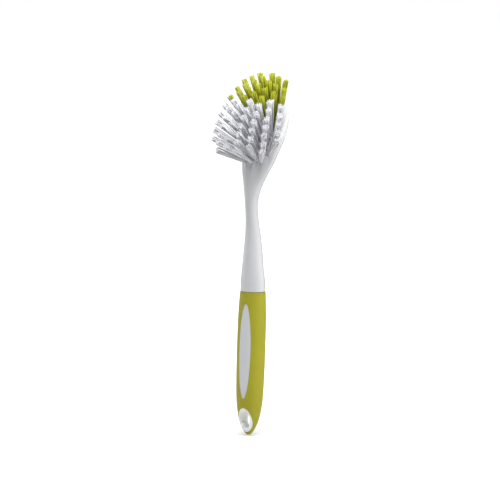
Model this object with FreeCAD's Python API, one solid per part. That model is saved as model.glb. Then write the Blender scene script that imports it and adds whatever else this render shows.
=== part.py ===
"""Dish brush: a one-piece moulded handle and head, a soft grip sleeve, and splayed bristle tufts.

The handle stands along +Z with the bristles at the front, towards -Y. The origin is on the axis of
the hanging hole, below the neck. Lengths are in millimetres and angles in degrees. A value or table
whose name ends in share or shares is a part of the size that it follows.
"""

import FreeCAD
import Part
import math
import os

Vector = FreeCAD.Vector

# Driving dimensions of the grip and its soft sleeve
GRIP_LENGTH = 110.9
GRIP_WIDTH = 23.4
GRIP_THICKNESS = 18.8
GRIP_LEAN = 6.0
SLEEVE_WALL = 2.2
SLEEVE_EDGE_RADIUS = 0.4
COLLAR_HEIGHT = 1.3
COLLAR_RECESS = 0.2

# Driving dimensions of the window in the sleeve and of the hanging eye
WINDOW_LENGTH = 73.0
WINDOW_WIDTH = 10.6
WINDOW_CENTRE_HEIGHT = 65.2
WINDOW_RECESS = 0.15
EYE_LENGTH = 19.0
EYE_WIDTH = 12.4
EYE_CENTRE_HEIGHT = 11.8
EYE_RECESS = 0.1
HANG_HOLE_LENGTH = 12.4
HANG_HOLE_WIDTH = 7.0
HANG_HOLE_THROAT = 5.0
HANG_HOLE_FLARE_ANGLE = 20.0

# Driving dimensions of the neck and the head
NECK_LENGTH = 69.1
NECK_FOOT_WIDTH = 20.4
NECK_FOOT_THICKNESS = 16.3
NECK_SET_BACK = 2.5
NECK_WAIST_WIDTH = 9.7
NECK_WAIST_THICKNESS = 9.7
HEAD_RISE = 72.0
HEAD_WIDTH = 33.4
HEAD_DEPTH = 16.6
HEAD_REACH = 44.5

# Driving dimensions of the tufts and of the staples that hold them
TUFT_ROWS = 10
TUFT_STEPS_EACH_SIDE = 3
TUFT_RIM_MARGIN = 8.5
TUFT_LENGTH_FIRST_ROW = 25.4
TUFT_LENGTH_LAST_ROW = 37.1
TUFT_TIP_DIAMETER = 4.4
TUFT_DOME = 0.5
TUFT_COLLAR = 2.5
TUFT_TILT_ANGLE_FIRST_ROW = 25.0
TUFT_TILT_ANGLE_LAST_ROW = 75.6
TUFT_TILT_ANGLE_SAG = 2.4
TUFT_TILT_ANGLE_SIDE = 4.7
TUFT_FAN_ANGLE_FIRST_ROW = 16.9
TUFT_FAN_ANGLE_LAST_ROW = 5.8
TUFT_HOLE_DIAMETER = 2.3
TUFT_HOLE_DEPTH = 5.0
TUFT_CLEARANCE = 0.05
TUFT_FOLD_CHAMFER = 0.4
STAPLE_LENGTH = 2.9
STAPLE_HEIGHT = 1.5
STAPLE_THICKNESS = 0.4
STAPLE_FOLD_GAP = 0.9

# How far a cutting tool or a hidden overlap runs past the face that it crosses
OVERRUN = 4.0

# Outline of the grip below its collar: shares of its width and thickness, evenly spaced up its length
GRIP_SHARES = (0.14, 0.65, 0.85, 0.942, 0.976, 0.993, 1.0, 1.0, 0.998, 0.985, 0.953, 0.903)
# The outline station where the core under the sleeve begins
CORE_FIRST_STATION = 1

# Outline of the neck: shares of its length, of the way from its waist to its foot, and of its set-back
NECK_SHARES = (
    (0.0, 1.0, 1.0),
    (0.24, 0.78, 1.0),
    (0.46, 0.50, 1.12),
    (0.67, 0.19, 0.95),
    (0.86, 0.0, 0.42),
)

# Outline of the head: share of its rise, then of its width, depth and reach
HEAD_SHARES = (
    (0.0, 0.315, 0.60, 0.015),
    (0.19, 0.50, 0.745, 0.072),
    (0.36, 0.77, 0.94, 0.18),
    (0.54, 0.96, 0.98, 0.328),
    (0.66, 1.0, 0.86, 0.459),
    (0.79, 0.90, 0.63, 0.628),
    (0.88, 0.775, 0.44, 0.752),
    (0.96, 0.61, 0.23, 0.885),
    (1.0, 0.47, 0.096, 1.0),
)
# Where the first and the last row of tufts start, and the first green ones, as shares of the head's rise
FIRST_ROW_SHARE = 0.37
LAST_ROW_SHARE = 0.764
FIRST_GREEN_SHARE = 0.649
# How much higher the rows start at the sides, in the same shares
SIDE_RISE_SHARE = 0.014

HEAD_FOOT_HEIGHT = GRIP_LENGTH + NECK_LENGTH
TUFT_PLUG_RADIUS = TUFT_HOLE_DIAMETER / 2 - TUFT_CLEARANCE


def level(height):
    """The Z of a height above the handle's lower end: Z is zero at the hanging eye."""
    return height - EYE_CENTRE_HEIGHT


def grip_axis_y(height):
    """The grip's axis leans to the front towards its lower end."""
    return NECK_SET_BACK - GRIP_LEAN * (1 - height / GRIP_LENGTH)


def level_oval(half_width, half_depth, y, height):
    """A level oval wire about (0, y)."""
    matrix = FreeCAD.Matrix()
    matrix.scale(half_width, half_depth, 1)
    matrix.move(Vector(0, y, level(height)))
    return Part.Wire([Part.makeCircle(1).transformGeometry(matrix).Edges[0]])


def grip_oval(station, height, inset=0.0):
    """The grip's level oval at one outline station, taken in all round by inset."""
    half_width = GRIP_WIDTH / 2 * GRIP_SHARES[station] - inset
    half_depth = GRIP_THICKNESS / 2 * GRIP_SHARES[station] - inset
    return level_oval(half_width, half_depth, grip_axis_y(height), height)


def grip_ovals(inset=0.0, first_station=0):
    """The grip's ovals below its collar, taken in all round by inset."""
    last = len(GRIP_SHARES) - 1
    return [
        grip_oval(station, (GRIP_LENGTH - COLLAR_HEIGHT) * station / last, inset)
        for station in range(first_station, last + 1)
    ]


def core_ovals():
    """The ovals of the core inside the sleeve, from its first station to the neck's foot."""
    return grip_ovals(SLEEVE_WALL, CORE_FIRST_STATION)[:-1] + [grip_oval(-1, GRIP_LENGTH, SLEEVE_WALL)]


def upright_oval(length, width, centre_height, y):
    """An upright oval wire in the XZ plane."""
    matrix = FreeCAD.Matrix()
    matrix.scale(width / 2, length / 2, 1)
    matrix.rotateX(math.pi / 2)
    matrix.move(Vector(0, y, level(centre_height)))
    return Part.Wire([Part.makeCircle(1).transformGeometry(matrix).Edges[0]])


def oval_prism(length, width, centre_height, y_from, y_to):
    """An oval prism along Y."""
    outline = upright_oval(length, width, centre_height, y_from)
    return Part.Face(outline).extrude(Vector(0, y_to - y_from, 0))


def hang_hole():
    """The hanging hole: a straight oval throat that flares towards the front and the back."""
    middle = grip_axis_y(EYE_CENTRE_HEIGHT)
    half_throat = HANG_HOLE_THROAT / 2
    outer = GRIP_THICKNESS / 2 + OVERRUN
    wider = 2 * (outer - half_throat) * math.tan(math.radians(HANG_HOLE_FLARE_ANGLE))
    narrow = (HANG_HOLE_LENGTH, HANG_HOLE_WIDTH, EYE_CENTRE_HEIGHT)
    wide = (HANG_HOLE_LENGTH + wider, HANG_HOLE_WIDTH + wider, EYE_CENTRE_HEIGHT)
    wires = [
        upright_oval(*wide, middle - outer),
        upright_oval(*narrow, middle - half_throat),
        upright_oval(*narrow, middle + half_throat),
        upright_oval(*wide, middle + outer),
    ]
    return Part.makeLoft(wires, True, True)


def side_face(wires, ruled=False):
    """The open side of a loft."""
    return Part.makeLoft(wires, False, ruled).Faces[0]


def ring_face(outer, inner):
    """A level face between two ovals."""
    return Part.makeFace([outer, inner], "Part::FaceMakerBullseye")


def soft_sleeve(window, eye):
    """The soft sleeve: its skin, a narrower collar at the top, and the space that the core fills."""
    skin = grip_ovals()
    core = core_ovals()
    collar_low = grip_oval(-1, GRIP_LENGTH - COLLAR_HEIGHT, COLLAR_RECESS)
    collar_top = grip_oval(-1, GRIP_LENGTH, COLLAR_RECESS)
    faces = [
        Part.Face(skin[0]),
        side_face(skin),
        ring_face(skin[-1], collar_low),
        side_face([collar_low, collar_top], True),
        ring_face(collar_top, core[-1]),
        side_face(core),
        Part.Face(core[0]),
    ]
    shell = Part.Shell(faces)
    shell.sewShape()
    blank = Part.Solid(shell)
    if blank.Volume < 0:
        blank.reverse()
    sleeve = blank.cut([window, eye])
    top_edges = [e for e in sleeve.Edges if e.BoundBox.ZMin > level(GRIP_LENGTH - SLEEVE_EDGE_RADIUS)]
    return sleeve.makeFillet(SLEEVE_EDGE_RADIUS, [max(top_edges, key=lambda e: e.Length)])


def neck_and_head():
    """The moulding above the sleeve: a waisted neck and a head that leans back to a thin edge."""
    wires = []
    for height_share, foot_share, set_back_share in NECK_SHARES:
        width = NECK_WAIST_WIDTH + (NECK_FOOT_WIDTH - NECK_WAIST_WIDTH) * foot_share
        depth = NECK_WAIST_THICKNESS + (NECK_FOOT_THICKNESS - NECK_WAIST_THICKNESS) * foot_share
        height = GRIP_LENGTH + NECK_LENGTH * height_share
        wires.append(level_oval(width / 2, depth / 2, NECK_SET_BACK * set_back_share, height))
    for rise_share, width_share, depth_share, reach_share in HEAD_SHARES:
        half_width = HEAD_WIDTH / 2 * width_share
        half_depth = HEAD_DEPTH / 2 * depth_share
        height = HEAD_FOOT_HEIGHT + HEAD_RISE * rise_share
        wires.append(level_oval(half_width, half_depth, HEAD_REACH * reach_share, height))
    return Part.makeLoft(wires, True)


def head_share(rise_share, column):
    """A share of the head's outline at any share of its rise, on straight lines between stations."""
    for low, high in zip(HEAD_SHARES, HEAD_SHARES[1:]):
        if rise_share <= high[0]:
            part = (rise_share - low[0]) / (high[0] - low[0])
            return low[column] + (high[column] - low[column]) * part
    return HEAD_SHARES[-1][column]


class Tuft:
    """One bristle tuft: its node, its length, and its place where its axis leaves the head."""

    def __init__(self, node, start, direction, length, head):
        self.node = node
        self.length = length
        ray = Part.makeLine(start, start + direction * (HEAD_DEPTH + HEAD_WIDTH))
        inside = head.common(ray)
        root = max((v.Point for v in inside.Vertexes), key=lambda p: (p - start).Length)
        upward = direction.cross(Vector(1, 0, 0))
        upward.normalize()
        third = direction.cross(upward)
        self.placement = FreeCAD.Placement(
            FreeCAD.Matrix(
                upward.x, third.x, direction.x, root.x,
                upward.y, third.y, direction.y, root.y,
                upward.z, third.z, direction.z, root.z,
                0, 0, 0, 1,
            )
        )

    def placed(self, shape):
        """A copy of a shape made about Z, with the head's surface at zero, moved to this tuft."""
        shape = shape.copy()
        shape.Placement = self.placement
        return shape


def between_rows(first, last, row_share):
    """A value that changes evenly from the first row of tufts to the last."""
    return first + (last - first) * row_share


def tuft_direction(step, row_share):
    """The way that a tuft points: forward at the neck, upright at the edge, and fanned to its side."""
    tilt = between_rows(TUFT_TILT_ANGLE_FIRST_ROW, TUFT_TILT_ANGLE_LAST_ROW, row_share)
    tilt -= TUFT_TILT_ANGLE_SAG * 4 * row_share * (1 - row_share)
    tilt = math.radians(tilt + TUFT_TILT_ANGLE_SIDE * (step / TUFT_STEPS_EACH_SIDE) ** 2)
    side = between_rows(TUFT_FAN_ANGLE_FIRST_ROW, TUFT_FAN_ANGLE_LAST_ROW, row_share)
    side = math.radians(side * step)
    return Vector(math.sin(side), -math.cos(side) * math.cos(tilt), math.cos(side) * math.sin(tilt))


def lay_out_tufts(head):
    """Columns of tufts that widen with the head, every second column half a row higher."""
    tufts = []
    for step in range(-TUFT_STEPS_EACH_SIDE, TUFT_STEPS_EACH_SIDE + 1):
        side_share = step / TUFT_STEPS_EACH_SIDE
        outermost = abs(step) == TUFT_STEPS_EACH_SIDE
        for row in range(1, TUFT_ROWS - 1) if outermost else range(TUFT_ROWS):
            row_share = (row + step % 2 / 2) / (TUFT_ROWS - 1)
            rise_share = between_rows(FIRST_ROW_SHARE, LAST_ROW_SHARE, row_share)
            rise_share += SIDE_RISE_SHARE * side_share**2
            row_share = (rise_share - FIRST_ROW_SHARE) / (LAST_ROW_SHARE - FIRST_ROW_SHARE)
            colour = "white" if rise_share < FIRST_GREEN_SHARE else "green"
            node = f"{colour}_tufts_row{row + 1:02d}_step{abs(step)}"
            x = (HEAD_WIDTH / 2 * head_share(rise_share, 1) - TUFT_RIM_MARGIN) * side_share
            y = HEAD_REACH * head_share(rise_share, 3)
            start = Vector(x, y, level(HEAD_FOOT_HEIGHT + HEAD_RISE * rise_share))
            direction = tuft_direction(step, row_share)
            length = between_rows(TUFT_LENGTH_FIRST_ROW, TUFT_LENGTH_LAST_ROW, row_share)
            tufts.append(Tuft(node, start, direction, length, head))
    return tufts


def staple():
    """The flat metal anchor that the filaments fold over, across the tuft near the hole's end."""
    low = STAPLE_FOLD_GAP - TUFT_HOLE_DEPTH
    corner = Vector(-STAPLE_LENGTH / 2, -STAPLE_THICKNESS / 2, low)
    return Part.makeBox(STAPLE_LENGTH, STAPLE_THICKNESS, STAPLE_HEIGHT, corner)


def tuft_hole():
    """The blind hole that a tuft is driven into, with the bite of its staple in the walls."""
    depth = TUFT_HOLE_DEPTH + OVERRUN
    bore = Part.makeCylinder(TUFT_HOLE_DIAMETER / 2, depth, Vector(0, 0, -TUFT_HOLE_DEPTH))
    return bore.fuse(staple())


def tuft_bundle(length):
    """A folded bundle of filaments: a plug in the hole, then a flared brush with a low domed tip."""
    tip_radius = TUFT_TIP_DIAMETER / 2
    outline = [
        Vector(0, 0, -TUFT_HOLE_DEPTH),
        Vector(TUFT_PLUG_RADIUS - TUFT_FOLD_CHAMFER, 0, -TUFT_HOLE_DEPTH),
        Vector(TUFT_PLUG_RADIUS, 0, TUFT_FOLD_CHAMFER - TUFT_HOLE_DEPTH),
        Vector(TUFT_PLUG_RADIUS, 0, TUFT_COLLAR),
        Vector(tip_radius, 0, length - TUFT_DOME),
    ]
    top = Vector(0, 0, length)
    dome_radius = (tip_radius**2 + TUFT_DOME**2) / (2 * TUFT_DOME)
    half_way = math.asin(tip_radius / dome_radius) / 2
    drop = dome_radius * (1 - math.cos(half_way))
    crown = Vector(dome_radius * math.sin(half_way), 0, length - drop)
    edges = [Part.makeLine(a, b) for a, b in zip(outline, outline[1:])]
    edges.append(Part.Arc(outline[-1], crown, top).toShape())
    edges.append(Part.makeLine(top, outline[0]))
    bundle = Part.Face(Part.Wire(edges)).revolve(Vector(0, 0, 0), Vector(0, 0, 1), 360)
    return bundle.cut(staple())


def build():
    """Every piece of the brush, by node name."""
    front = -GRIP_THICKNESS - GRIP_LEAN
    back = GRIP_THICKNESS
    window = oval_prism(WINDOW_LENGTH, WINDOW_WIDTH, WINDOW_CENTRE_HEIGHT, front, 0)
    eye = oval_prism(EYE_LENGTH, EYE_WIDTH, EYE_CENTRE_HEIGHT, front, back)
    core_in_sleeve = Part.makeLoft(core_ovals(), True)
    window_boss = Part.makeLoft(grip_ovals(WINDOW_RECESS), True).common(window)
    eye_boss = Part.makeLoft(grip_ovals(EYE_RECESS), True).common(eye)

    head = neck_and_head()
    tufts = lay_out_tufts(head)
    drilled_head = head.cut([t.placed(tuft_hole()) for t in tufts])
    grip_core = core_in_sleeve.fuse(window_boss).fuse(eye_boss).cut(hang_hole())
    core = drilled_head.fuse(grip_core)

    pieces = {"handle_core": core, "grip_sleeve": soft_sleeve(window, eye)}
    for node in sorted({t.node for t in tufts}):
        pair = [t.placed(tuft_bundle(t.length)) for t in tufts if t.node == node]
        pieces[node] = Part.makeCompound(pair)
    for colour in ("white", "green"):
        anchors = [t.placed(staple()) for t in tufts if t.node.startswith(colour)]
        pieces[f"{colour}_tuft_staples"] = Part.makeCompound(anchors)
    return pieces


os.makedirs("parts", exist_ok=True)
for node, shape in build().items():
    shape.exportStep(f"parts/{node}.step")
    print(node, len(shape.Solids), round(shape.Volume, 2), shape.isValid())
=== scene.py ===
"""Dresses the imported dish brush: filament tufts, moulded plastics, studio floor, lights and camera."""

import math

import bpy
import numpy as np
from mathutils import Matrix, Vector


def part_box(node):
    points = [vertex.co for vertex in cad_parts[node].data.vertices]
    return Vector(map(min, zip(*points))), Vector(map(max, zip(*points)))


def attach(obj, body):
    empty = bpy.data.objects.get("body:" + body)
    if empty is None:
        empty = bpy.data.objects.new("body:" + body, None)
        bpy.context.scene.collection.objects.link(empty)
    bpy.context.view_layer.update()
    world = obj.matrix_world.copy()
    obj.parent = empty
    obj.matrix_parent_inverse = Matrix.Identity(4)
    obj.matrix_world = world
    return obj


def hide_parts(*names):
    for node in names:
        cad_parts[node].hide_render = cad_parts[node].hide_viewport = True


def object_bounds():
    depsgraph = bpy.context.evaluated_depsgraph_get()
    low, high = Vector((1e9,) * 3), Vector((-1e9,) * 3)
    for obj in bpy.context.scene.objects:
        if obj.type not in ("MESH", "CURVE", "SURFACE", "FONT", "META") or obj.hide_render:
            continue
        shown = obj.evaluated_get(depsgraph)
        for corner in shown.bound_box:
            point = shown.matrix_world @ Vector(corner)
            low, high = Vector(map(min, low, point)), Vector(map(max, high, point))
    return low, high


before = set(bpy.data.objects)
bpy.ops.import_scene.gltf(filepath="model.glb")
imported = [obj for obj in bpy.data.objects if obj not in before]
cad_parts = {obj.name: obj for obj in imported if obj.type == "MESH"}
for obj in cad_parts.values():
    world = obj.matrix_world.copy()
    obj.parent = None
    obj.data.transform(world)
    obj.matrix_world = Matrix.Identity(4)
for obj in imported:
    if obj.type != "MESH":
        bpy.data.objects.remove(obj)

bl_info = {
    "name": "Dish brush dresser",
    "version": (1, 0, 0),
    "blender": (4, 5, 0),
    "location": "3D View > Sidebar > Dish brush",
    "description": "Gives the dish brush its filaments, finishes, floor, lights and camera",
    "category": "Object",
}

MM = 0.001
CAD_BOX = [list(corner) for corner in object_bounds()]
TUFT_NODES = sorted(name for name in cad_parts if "_tufts_row" in name)
GOLDEN_ANGLE = math.pi * (3 - math.sqrt(5))

# How much of their colour the hard plastic's flow marks and the sleeve's mottling keep
FLOW_SHADE = 0.97
MOTTLE_SHADE = 0.92
# Heights over which the painted light round the hanging hole and the pad's matt finish give way to the
# rest
EYE_PAINTED_LIGHT_BLEND = 2 * MM
PAD_BLEND = 6 * MM
# Painted shade along the sleeve's top edge, for the shadow gap against the neck: its height, and how much
# of the colour it keeps at the top
SEAM_SHADE_HEIGHT = 1.0 * MM
SEAM_PAINTED_SHADE = 0.35

# How much of its colour the dullest filament keeps, and how much every filament keeps at its root under
# painted shade
WHITE_DULLEST = 0.95
WHITE_ROOT_PAINTED_SHADE = 0.95
GREEN_DULLEST = 0.6
GREEN_ROOT_PAINTED_SHADE = 0.15
# The share of a filament's length over which the painted shade at its root fades out
ROOT_SHADE_FADE = 0.9
# The share of the light on a filament that shines through it
SHINE_THROUGH = 0.25
# The share of the filaments that come loose from their strands
STRAY_SHARE = 0.06
# The radius of a strand at the root, as a share of the bundle's
ROOT_STRAND_SHARE = 0.3
# The share of a filament's shade that comes from its strand, and the share that is its own
STRAND_SHADE_SHARE = 0.7
OWN_SHADE_SHARE = 0.3
# A filament's sides, and the shares of its length at which it is divided
FILAMENT_SIDES = 5
FILAMENT_CUTS = (0.25, 0.5, 0.75)

# Softboxes: name, angles from the front in degrees, distance, width and height in metres, watts
SOFTBOXES = (
    ("right_softbox", 104, 12, 0.9, 0.6, 1.0, 5.6),
    ("left_softbox", -85, 10, 1.1, 0.4, 1.0, 3.0),
    ("top_softbox", 35, 72, 1.0, 0.6, 0.6, 13.2),
)
# Strength of the surround in front of the brush and behind it
SURROUND_IN_FRONT = 0.14
SURROUND_BEHIND = 0.6
# How much white the camera sees in the floor at the brush, where its shadow stays, and far away
WHITE_NEAR = 0.35
WHITE_FAR = 1.0
NEAR_REACH = 20 * MM
FAR_REACH = 400 * MM
FLOOR_SIZE = 30
CAMERA_REACH = 20


def linear(hex_colour):
    """The linear colour of an sRGB hex value such as #E4E5E7."""
    parts = [int(hex_colour[i:i + 2], 16) / 255 for i in (1, 3, 5)]
    return [p / 12.92 if p <= 0.04045 else ((p + 0.055) / 1.055) ** 2.4 for p in parts]


def colour_property(name, description, hex_colour):
    """A colour that a user can change, with its default given in sRGB."""
    return bpy.props.FloatVectorProperty(
        name=name, description=description, subtype="COLOR", size=3, min=0, max=1,
        default=linear(hex_colour),
    )


def length_property(name, description, millimetres):
    """A length that a user can change, with its default given in millimetres."""
    return bpy.props.FloatProperty(
        name=name, description=description, subtype="DISTANCE", unit="LENGTH", min=0,
        default=millimetres * MM,
    )


def count_property(name, description, count):
    """A number of things that a user can change."""
    return bpy.props.IntProperty(name=name, description=description, default=count, min=1)


def angle_property(name, description, degrees):
    """An angle that a user can change, with its default given in degrees."""
    return bpy.props.FloatProperty(
        name=name, description=description, subtype="ANGLE", unit="ROTATION",
        default=math.radians(degrees),
    )


class DishBrushHandleSettings(bpy.types.PropertyGroup):
    """Colours and finishes of the moulded handle and its soft sleeve, and the painted light round its
    hanging hole.
    """

    plastic: colour_property("Plastic", "Hard plastic of the handle and head", "#CECFD2")
    # Painted light: the plastic round the hanging hole is the same white moulding as the rest, given a
    # whiter colour up to the set height so that its rim and inside read as lit.
    eye: colour_property("Eye", "Hard plastic round the hanging hole", "#F3F4F1")
    sleeve: colour_property("Sleeve", "Soft plastic of the grip sleeve", "#A5A026")
    eye_painted_light_top: length_property("Eye top", "Height up to which the hard plastic has the eye's colour", 12)
    pad_top: length_property("Pad top", "Height up to which the hard plastic is matt", 92)


class DishBrushTuftSettings(bpy.types.PropertyGroup):
    """Sizes and colours of the filaments."""

    strands: count_property("Strands", "Strands that the filaments of a tuft cling together in", 12)
    filaments: count_property("Filaments", "Filaments in one strand", 4)
    diameter: length_property("Diameter", "Diameter of a filament, about twice the real one", 0.56)
    strand_radius: length_property("Strand radius", "Radius of a strand at its cut tips", 0.38)
    root_radius: length_property("Root radius", "Radius of the bundle where it leaves its hole", 0.8)
    white_tip_radius: length_property("White tip radius", "Radius of a white tuft at its cut tips", 2.8)
    green_tip_radius: length_property("Green tip radius", "Radius of a green tuft at its cut tips", 2.45)
    sunk: length_property("Sunk", "How far a filament is modelled down into its hole", 2.5)
    hole_depth: length_property("Hole depth", "Depth of a tuft hole", 5.0)
    lean: length_property("Lean", "How far a strand's tip strays from its even place", 0.12)
    wander: length_property("Wander", "How far a filament's tip strays from its strand", 0.04)
    stray: length_property("Stray", "How far the tips of the few loose filaments stray", 0.8)
    unevenness: length_property("Unevenness", "How unevenly the tips are cut", 0.8)
    white: colour_property("White", "White filaments", "#FBFBFF")
    green: colour_property("Green", "Green filaments", "#D7DC38")


class DishBrushStageSettings(bpy.types.PropertyGroup):
    """Camera and floor."""

    azimuth: angle_property("Azimuth", "Camera angle round the brush from its front", 35)
    elevation: angle_property("Elevation", "Camera angle above level", 6)
    distance: length_property("Distance", "Distance from the camera to the brush", 2000)
    view_width: length_property("View width", "Width of the picture at the brush", 383.5)
    aim_height: length_property("Aim height", "Height of the picture's centre above the hole", 130.9)
    aim_side: length_property("Aim side", "How far the picture's centre lies left of the handle", 0.8)
    floor_drop: length_property("Floor drop", "Floor level below the handle's end", 1)
    floor: colour_property("Floor", "Floor and backdrop", "#D8D8D8")


def add_node(tree, kind, values=(), links=(), **settings):
    """One shader node with its settings, its socket values and its links into it."""
    node = tree.nodes.new(kind)
    for key, value in settings.items():
        setattr(node, key, value)
    for key, value in values:
        node.inputs[key].default_value = value
    for key, source in links:
        tree.links.new(source, node.inputs[key])
    return node


def new_material(name):
    """An empty node material, and its node tree."""
    material = bpy.data.materials.new(name)
    material.use_nodes = True
    material.node_tree.nodes.clear()
    return material, material.node_tree


def with_output(tree, shader):
    """Ends a material in its shader."""
    add_node(tree, "ShaderNodeOutputMaterial", links=[("Surface", shader.outputs[0])])


def opaque(colour, kept=1.0):
    """A socket's colour value, with so much of the colour kept."""
    return (*[part * kept for part in colour], 1)


def noise(tree, place, millimetres, detail):
    """A noise on the object whose patches are this many millimetres across."""
    return add_node(
        tree, "ShaderNodeTexNoise", [("Scale", 1 / (millimetres * MM)), ("Detail", detail)],
        [("Vector", place.outputs["Object"])],
    )


def shaded(tree, colour, kept, factor):
    """A colour that goes from its darker shade to itself with a factor."""
    return add_node(
        tree, "ShaderNodeMix", [("A", opaque(colour, kept)), ("B", opaque(colour))],
        [("Factor", factor.outputs["Fac"])], data_type="RGBA",
    )


def multiplied(tree, colour, share):
    """A colour darkened to a share of itself."""
    return add_node(
        tree, "ShaderNodeMix", [("Factor", 1.0)],
        [("A", colour.outputs["Result"]), ("B", share.outputs["Result"])],
        data_type="RGBA", blend_type="MULTIPLY",
    )


def moulded_polypropylene(settings):
    """White polypropylene, injection moulded: soft gloss, faint flow marks, matt pad, painted light round
    the hanging hole.
    """
    material, tree = new_material("moulded_polypropylene")
    place = add_node(tree, "ShaderNodeTexCoord")
    flow = noise(tree, place, 18, 3.0)
    tint = shaded(tree, settings.plastic, FLOW_SHADE, flow)
    height = add_node(tree, "ShaderNodeSeparateXYZ", links=[("Vector", place.outputs["Object"])])
    # Painted light: below the set height the plastic takes the whiter colour round the hanging hole.
    above_eye_painted_light = add_node(
        tree, "ShaderNodeMapRange",
        [("From Min", settings.eye_painted_light_top), ("From Max", settings.eye_painted_light_top + EYE_PAINTED_LIGHT_BLEND)],
        [("Value", height.outputs["Z"])],
    )
    body = add_node(
        tree, "ShaderNodeMix", [("A", opaque(settings.eye))],
        [("Factor", above_eye_painted_light.outputs["Result"]), ("B", tint.outputs["Result"])], data_type="RGBA",
    )
    sheen = add_node(
        tree, "ShaderNodeMapRange",
        [
            ("From Min", settings.pad_top), ("From Max", settings.pad_top + PAD_BLEND),
            ("To Min", 0.55), ("To Max", 0.30),
        ],
        [("Value", height.outputs["Z"])],
    )
    peel = noise(tree, place, 1.6, 2.0)
    bump = add_node(
        tree, "ShaderNodeBump", [("Strength", 0.06), ("Distance", 0.05 * MM)],
        [("Height", peel.outputs["Fac"])],
    )
    shader = add_node(
        tree, "ShaderNodeBsdfPrincipled",
        [
            ("IOR", 1.49), ("Subsurface Weight", 0.1),
            ("Subsurface Radius", (1, 1, 1)), ("Subsurface Scale", 1.5 * MM),
        ],
        [
            ("Base Color", body.outputs["Result"]), ("Roughness", sheen.outputs["Result"]),
            ("Normal", bump.outputs["Normal"]),
        ],
    )
    with_output(tree, shader)
    return material


def moulded_elastomer(settings):
    """Green thermoplastic elastomer, moulded in a fine eroded tool: matt, grippy, with painted shade
    along its top edge.
    """
    material, tree = new_material("moulded_elastomer")
    place = add_node(tree, "ShaderNodeTexCoord")
    mottle = noise(tree, place, 9, 4.0)
    tint = shaded(tree, settings.sleeve, MOTTLE_SHADE, mottle)
    height = add_node(tree, "ShaderNodeSeparateXYZ", links=[("Vector", place.outputs["Object"])])
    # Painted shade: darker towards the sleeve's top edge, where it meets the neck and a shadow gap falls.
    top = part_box("grip_sleeve")[1].z
    seam_painted_shade = add_node(
        tree, "ShaderNodeMapRange",
        [("From Min", top - SEAM_SHADE_HEIGHT), ("From Max", top), ("To Min", 1.0), ("To Max", SEAM_PAINTED_SHADE)],
        [("Value", height.outputs["Z"])],
    )
    body = multiplied(tree, tint, seam_painted_shade)
    grain = noise(tree, place, 0.6, 2.0)
    rough = add_node(
        tree, "ShaderNodeMapRange", [("To Min", 0.48), ("To Max", 0.62)],
        [("Value", grain.outputs["Fac"])],
    )
    bump = add_node(
        tree, "ShaderNodeBump", [("Strength", 0.25), ("Distance", 0.06 * MM)],
        [("Height", grain.outputs["Fac"])],
    )
    shader = add_node(
        tree, "ShaderNodeBsdfPrincipled", [("IOR", 1.5), ("Specular IOR Level", 0.3)],
        [
            ("Base Color", body.outputs["Result"]), ("Roughness", rough.outputs["Result"]),
            ("Normal", bump.outputs["Normal"]),
        ],
    )
    with_output(tree, shader)
    return material


def drawn_filament(name, colour, dullest, root_painted_shade):
    """Drawn polyester filament: smooth, lit through, each duller or brighter, and darkened towards its
    root by painted shade.
    """
    material, tree = new_material(name)
    shade = add_node(tree, "ShaderNodeAttribute", attribute_name="shade")
    along = add_node(tree, "ShaderNodeAttribute", attribute_name="along")
    tint = shaded(tree, colour, dullest, shade)
    # Painted shade: each filament darkens towards its root, where the tufts shade one another.
    root_shade_factor = add_node(
        tree, "ShaderNodeMapRange", [("From Max", ROOT_SHADE_FADE), ("To Min", root_painted_shade), ("To Max", 1.0)],
        [("Value", along.outputs["Fac"])],
    )
    root_shaded_tint = multiplied(tree, tint, root_shade_factor)
    shader = add_node(
        tree, "ShaderNodeBsdfPrincipled", [("IOR", 1.57), ("Roughness", 0.38)],
        [("Base Color", root_shaded_tint.outputs["Result"])],
    )
    glow = add_node(tree, "ShaderNodeBsdfTranslucent", links=[("Color", root_shaded_tint.outputs["Result"])])
    mixed = add_node(
        tree, "ShaderNodeMixShader", [("Fac", SHINE_THROUGH)],
        [(1, shader.outputs[0]), (2, glow.outputs[0])],
    )
    with_output(tree, mixed)
    return material


def rolled_steel():
    """Flat steel wire, rolled and cut: a grey metal whose gloss varies finely."""
    material, tree = new_material("rolled_steel_wire")
    place = add_node(tree, "ShaderNodeTexCoord")
    wear = noise(tree, place, 0.3, 2.0)
    rough = add_node(
        tree, "ShaderNodeMapRange", [("To Min", 0.28), ("To Max", 0.5)],
        [("Value", wear.outputs["Fac"])],
    )
    shader = add_node(
        tree, "ShaderNodeBsdfPrincipled",
        [("Base Color", opaque(linear("#B9B8B4"))), ("Metallic", 1.0)],
        [("Roughness", rough.outputs["Result"])],
    )
    with_output(tree, shader)
    return material


def dress(node, material):
    """Gives a carried-over CAD node one finish."""
    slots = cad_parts[node].data.materials
    slots.clear()
    slots.append(material)


def tuft_axes(node):
    """The foot and the tip of each tuft of a node: one in the middle, or one on either side of it."""
    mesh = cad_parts[node].data
    mesh.calc_loop_triangles()
    corners = np.array([v.co for v in mesh.vertices])
    triangles = corners[[t.vertices[:] for t in mesh.loop_triangles]]
    areas = np.array([t.area for t in mesh.loop_triangles])
    middles = triangles.mean(1)
    if node.endswith("step0"):
        sides = [areas > 0]
    else:
        sides = [middles[:, 0] < 0, middles[:, 0] > 0]
    return [long_axis(triangles[side], areas[side]) for side in sides]


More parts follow.
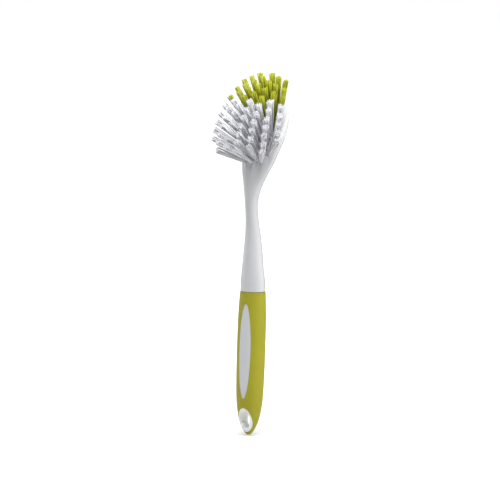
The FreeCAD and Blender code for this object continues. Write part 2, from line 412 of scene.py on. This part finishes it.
def long_axis(triangles, areas):
    """The two ends of a surface's long principal axis, with the end at the handle first."""
    middles = triangles.mean(1)
    centre = (middles * areas[:, None]).sum(0) / areas.sum()
    spread = middles - centre
    axis = np.linalg.eigh((spread * areas[:, None]).T @ spread)[1][:, -1]
    low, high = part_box("handle_core")
    if axis @ (centre - np.array((low + high) / 2)) < 0:
        axis = -axis
    reach = (triangles.reshape(-1, 3) - centre) @ axis
    return centre + axis * reach.min(), centre + axis * reach.max()


def sunflower(index, count, turn):
    """An even place in the unit circle for one of so many points, as the seeds of a sunflower lie."""
    angle = turn + index * GOLDEN_ANGLE
    return np.array((math.cos(angle), math.sin(angle))) * math.sqrt((index + 0.5) / count)


def filament_pattern():
    """One filament along Z at unit size: its points, whose Z is the share along it, and its faces."""
    bpy.ops.object.select_all(action="DESELECT")
    bpy.ops.mesh.primitive_cylinder_add(
        vertices=FILAMENT_SIDES, radius=1, depth=1, location=(0, 0, 0.5),
    )
    pattern = bpy.context.object
    bpy.ops.object.transform_apply(location=True)
    bpy.ops.object.mode_set(mode="EDIT")
    for share in FILAMENT_CUTS:
        bpy.ops.mesh.select_all(action="SELECT")
        bpy.ops.mesh.bisect(plane_co=(0, 0, share), plane_no=(0, 0, 1))
    bpy.ops.object.mode_set(mode="OBJECT")
    mesh = pattern.data
    points = np.array([v.co for v in mesh.vertices])
    faces = [tuple(p.vertices) for p in mesh.polygons]
    bpy.data.objects.remove(pattern)
    bpy.data.meshes.remove(mesh)
    return points, faces


def filament_points(axis_ends, tip_radius, settings, pattern, rng):
    """The points and the shade of each filament of a tuft, in strands that spread from hole to tips."""
    foot, tip = axis_ends
    axis = (tip - foot) / np.linalg.norm(tip - foot)
    across = np.cross(axis, (1.0, 0.0, 0.0))
    across /= np.linalg.norm(across)
    sideways = np.array((across, np.cross(axis, across)))
    root = foot + axis * (settings.hole_depth - settings.sunk)
    full_length = np.linalg.norm(tip - root)
    share = pattern[:, 2]
    rounding = pattern[:, :2] * settings.diameter / 2
    filaments, shades = [], []
    turn = rng.uniform(0, math.tau)
    for strand in range(settings.strands):
        spot = sunflower(strand, settings.strands, turn)
        strand_end = spot * (tip_radius - settings.strand_radius) + rng.normal(0, settings.lean, 2)
        strand_shade = rng.uniform(0, 1)
        strand_turn = rng.uniform(0, math.tau)
        for i in range(settings.filaments):
            offset = sunflower(i, settings.filaments, strand_turn)
            wander = settings.stray if rng.random() < STRAY_SHARE else settings.wander
            end = strand_end + offset * settings.strand_radius + rng.normal(0, wander, 2)
            start = (spot + offset * ROOT_STRAND_SHARE) * settings.root_radius
            length = full_length - abs(rng.normal(0, settings.unevenness))
            side = np.outer(1 - share, start) + np.outer(share, end) + rounding
            filaments.append(root + side @ sideways + np.outer(share * length, axis))
            shades.append(STRAND_SHADE_SHARE * strand_shade + OWN_SHADE_SHARE * rng.uniform(0, 1))
    return filaments, shades


def bundle_mesh(name, node, tip_radius, settings, pattern, faces, rng):
    """The filaments of a node's tufts as one mesh, with each filament's shade and the way along it."""
    filaments, shades = [], []
    for axis_ends in tuft_axes(node):
        points, tones = filament_points(axis_ends, tip_radius, settings, pattern, rng)
        filaments += points
        shades += tones
    count = len(pattern)
    all_faces = [tuple(count * i + v for v in face) for i in range(len(filaments)) for face in faces]
    mesh = bpy.data.meshes.new(name)
    mesh.from_pydata(np.concatenate(filaments).tolist(), [], all_faces)
    shade = np.repeat(shades, count)
    along = np.tile(pattern[:, 2], len(filaments))
    for attribute, values in (("shade", shade), ("along", along)):
        layer = mesh.attributes.new(attribute, "FLOAT", "POINT")
        layer.data.foreach_set("value", values.astype(np.float32))
    return mesh


def add_tufts(colour, material, tip_radius, settings):
    """Every tuft of one colour as a bundle of filaments in the place of its CAD solid."""
    pattern, faces = filament_pattern()
    for seed, node in enumerate(TUFT_NODES):
        if not node.startswith(colour):
            continue
        name = node.replace("tufts", "bristles")
        rng = np.random.default_rng(seed)
        mesh = bundle_mesh(name, node, tip_radius, settings, pattern, faces, rng)
        piece = bpy.data.objects.new(name, mesh)
        bpy.context.scene.collection.objects.link(piece)
        mesh.materials.append(material)
        mesh.shade_smooth()
        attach(piece, "root")
        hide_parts(node)


class DISHBRUSH_OT_handle(bpy.types.Operator):
    """Finishes the moulded handle and head"""

    bl_idname = "dish_brush.handle"
    bl_label = "Handle"

    def execute(self, context):
        dress("handle_core", moulded_polypropylene(context.scene.dish_brush_handle))
        return {"FINISHED"}


class DISHBRUSH_OT_sleeve(bpy.types.Operator):
    """Finishes the soft grip sleeve"""

    bl_idname = "dish_brush.sleeve"
    bl_label = "Grip sleeve"

    def execute(self, context):
        dress("grip_sleeve", moulded_elastomer(context.scene.dish_brush_handle))
        return {"FINISHED"}


class DISHBRUSH_OT_staples(bpy.types.Operator):
    """Finishes the steel staples that hold the tufts"""

    bl_idname = "dish_brush.staples"
    bl_label = "Staples"

    def execute(self, context):
        steel = rolled_steel()
        for node in ("white_tuft_staples", "green_tuft_staples"):
            dress(node, steel)
        return {"FINISHED"}


class DISHBRUSH_OT_white_tufts(bpy.types.Operator):
    """Builds the white tufts from filaments"""

    bl_idname = "dish_brush.white_tufts"
    bl_label = "White tufts"

    def execute(self, context):
        settings = context.scene.dish_brush_tufts
        filament = drawn_filament(
            "drawn_white_filament", settings.white, WHITE_DULLEST, WHITE_ROOT_PAINTED_SHADE,
        )
        add_tufts("white", filament, settings.white_tip_radius, settings)
        return {"FINISHED"}


class DISHBRUSH_OT_green_tufts(bpy.types.Operator):
    """Builds the green tufts from filaments"""

    bl_idname = "dish_brush.green_tufts"
    bl_label = "Green tufts"

    def execute(self, context):
        settings = context.scene.dish_brush_tufts
        filament = drawn_filament(
            "drawn_green_filament", settings.green, GREEN_DULLEST, GREEN_ROOT_PAINTED_SHADE,
        )
        add_tufts("green", filament, settings.green_tip_radius, settings)
        return {"FINISHED"}


def from_angles(azimuth, elevation):
    """The direction from the brush to a camera or lamp at these angles."""
    return Vector((
        math.sin(azimuth) * math.cos(elevation),
        -math.cos(azimuth) * math.cos(elevation),
        math.sin(elevation),
    ))


def aim(thing, place, target):
    """Puts a camera or lamp at a place, looking at a target."""
    thing.location = place
    thing.rotation_euler = (target - place).to_track_quat("-Z", "Y").to_euler()


def add_camera(settings, target):
    """A long lens at the photograph's viewing angle."""
    data = bpy.data.cameras.new("camera")
    data.lens = data.sensor_width * settings.distance / settings.view_width
    data.clip_end = CAMERA_REACH
    camera = bpy.data.objects.new("camera", data)
    bpy.context.scene.collection.objects.link(camera)
    leftwards = from_angles(settings.azimuth - math.radians(90), 0)
    target = target + leftwards * settings.aim_side
    direction = from_angles(settings.azimuth, settings.elevation)
    aim(camera, target + direction * settings.distance, target)
    bpy.context.scene.camera = camera


def add_softboxes(target):
    """One softbox on the right, a weaker one on the left and the strongest above."""
    for name, azimuth, elevation, distance, width, height, watts in SOFTBOXES:
        data = bpy.data.lights.new(name, "AREA")
        data.shape = "RECTANGLE"
        data.size = width
        data.size_y = height
        data.energy = watts
        lamp = bpy.data.objects.new(name, data)
        bpy.context.scene.collection.objects.link(lamp)
        direction = from_angles(math.radians(azimuth), math.radians(elevation))
        aim(lamp, target + direction * distance, target)


def add_floor(settings):
    """A pale matt floor that keeps the brush's shadow and runs on behind it as the picture's white."""
    low = min(corner[2] for corner in CAD_BOX)
    bpy.ops.object.select_all(action="DESELECT")
    bpy.ops.mesh.primitive_plane_add(size=FLOOR_SIZE, location=(0, 0, low - settings.floor_drop))
    floor = bpy.context.object
    floor.name = "floor"
    bpy.ops.object.transform_apply(location=True)
    material, tree = new_material("matt_white_floor")
    rays = add_node(tree, "ShaderNodeLightPath")
    paint = add_node(tree, "ShaderNodeBsdfDiffuse", [("Color", opaque(settings.floor))])
    place = add_node(tree, "ShaderNodeTexCoord")
    away = add_node(
        tree, "ShaderNodeVectorMath", links=[(0, place.outputs["Object"])], operation="LENGTH",
    )
    whitening = add_node(
        tree, "ShaderNodeMapRange",
        [
            ("From Min", NEAR_REACH), ("From Max", FAR_REACH),
            ("To Min", WHITE_NEAR), ("To Max", WHITE_FAR),
        ],
        [("Value", away.outputs["Value"])],
    )
    white = add_node(tree, "ShaderNodeEmission", links=[("Strength", whitening.outputs["Result"])])
    lit = add_node(tree, "ShaderNodeAddShader", links=[(0, paint.outputs[0]), (1, white.outputs[0])])
    seen = add_node(
        tree, "ShaderNodeMixShader",
        links=[("Fac", rays.outputs["Is Camera Ray"]), (1, paint.outputs[0]), (2, lit.outputs[0])],
    )
    with_output(tree, seen)
    floor.data.materials.append(material)


def set_world(settings):
    """A surround that is dim in front of the brush, bright behind it and white to the camera."""
    world = bpy.data.worlds.new("surround")
    bpy.context.scene.world = world
    world.use_nodes = True
    tree = world.node_tree
    tree.nodes.clear()
    rays = add_node(tree, "ShaderNodeLightPath")
    place = add_node(tree, "ShaderNodeTexCoord")
    frontness = add_node(
        tree, "ShaderNodeVectorMath", [(1, from_angles(settings.azimuth, 0))],
        [(0, place.outputs["Generated"])], operation="DOT_PRODUCT",
    )
    strength = add_node(
        tree, "ShaderNodeMapRange",
        [
            ("From Min", -1.0), ("From Max", 1.0),
            ("To Min", SURROUND_BEHIND), ("To Max", SURROUND_IN_FRONT),
        ],
        [("Value", frontness.outputs["Value"])],
    )
    soft = add_node(tree, "ShaderNodeBackground", links=[("Strength", strength.outputs["Result"])])
    white = add_node(tree, "ShaderNodeBackground", [("Color", (1, 1, 1, 1))])
    seen = add_node(
        tree, "ShaderNodeMixShader",
        links=[("Fac", rays.outputs["Is Camera Ray"]), (1, soft.outputs[0]), (2, white.outputs[0])],
    )
    add_node(tree, "ShaderNodeOutputWorld", links=[("Surface", seen.outputs[0])])


class DISHBRUSH_OT_stage(bpy.types.Operator):
    """Sets the floor, the surround, the softboxes and the camera"""

    bl_idname = "dish_brush.stage"
    bl_label = "Stage"

    def execute(self, context):
        settings = context.scene.dish_brush_stage
        target = Vector((0, 0, settings.aim_height))
        context.scene.view_settings.view_transform = "Standard"
        set_world(settings)
        add_floor(settings)
        add_softboxes(target)
        add_camera(settings, target)
        return {"FINISHED"}


OPERATORS = (
    DISHBRUSH_OT_stage,
    DISHBRUSH_OT_handle,
    DISHBRUSH_OT_sleeve,
    DISHBRUSH_OT_staples,
    DISHBRUSH_OT_white_tufts,
    DISHBRUSH_OT_green_tufts,
)
SETTINGS = {
    "dish_brush_handle": DishBrushHandleSettings,
    "dish_brush_tufts": DishBrushTuftSettings,
    "dish_brush_stage": DishBrushStageSettings,
}


class DISHBRUSH_PT_sidebar(bpy.types.Panel):
    """The steps that dress the brush, with their settings"""

    bl_idname = "DISHBRUSH_PT_sidebar"
    bl_label = "Dish brush"
    bl_space_type = "VIEW_3D"
    bl_region_type = "UI"
    bl_category = "Dish brush"

    def draw(self, context):
        for operator in OPERATORS:
            self.layout.operator(operator.bl_idname)
        for name, group in SETTINGS.items():
            box = self.layout.box()
            for key in group.__annotations__:
                box.prop(getattr(context.scene, name), key)


CLASSES = (*SETTINGS.values(), *OPERATORS, DISHBRUSH_PT_sidebar)


def register():
    """Adds the settings, the operators and the panel."""
    for cls in CLASSES:
        bpy.utils.register_class(cls)
    for name, group in SETTINGS.items():
        setattr(bpy.types.Scene, name, bpy.props.PointerProperty(type=group))


def unregister():
    """Takes them away again."""
    for name in SETTINGS:
        delattr(bpy.types.Scene, name)
    for cls in reversed(CLASSES):
        bpy.utils.unregister_class(cls)


def main():
    """Dresses the brush."""
    register()
    bpy.ops.dish_brush.stage()
    bpy.ops.dish_brush.handle()
    bpy.ops.dish_brush.sleeve()
    bpy.ops.dish_brush.staples()
    bpy.ops.dish_brush.white_tufts()
    bpy.ops.dish_brush.green_tufts()


if __name__ == "__main__":
    main()
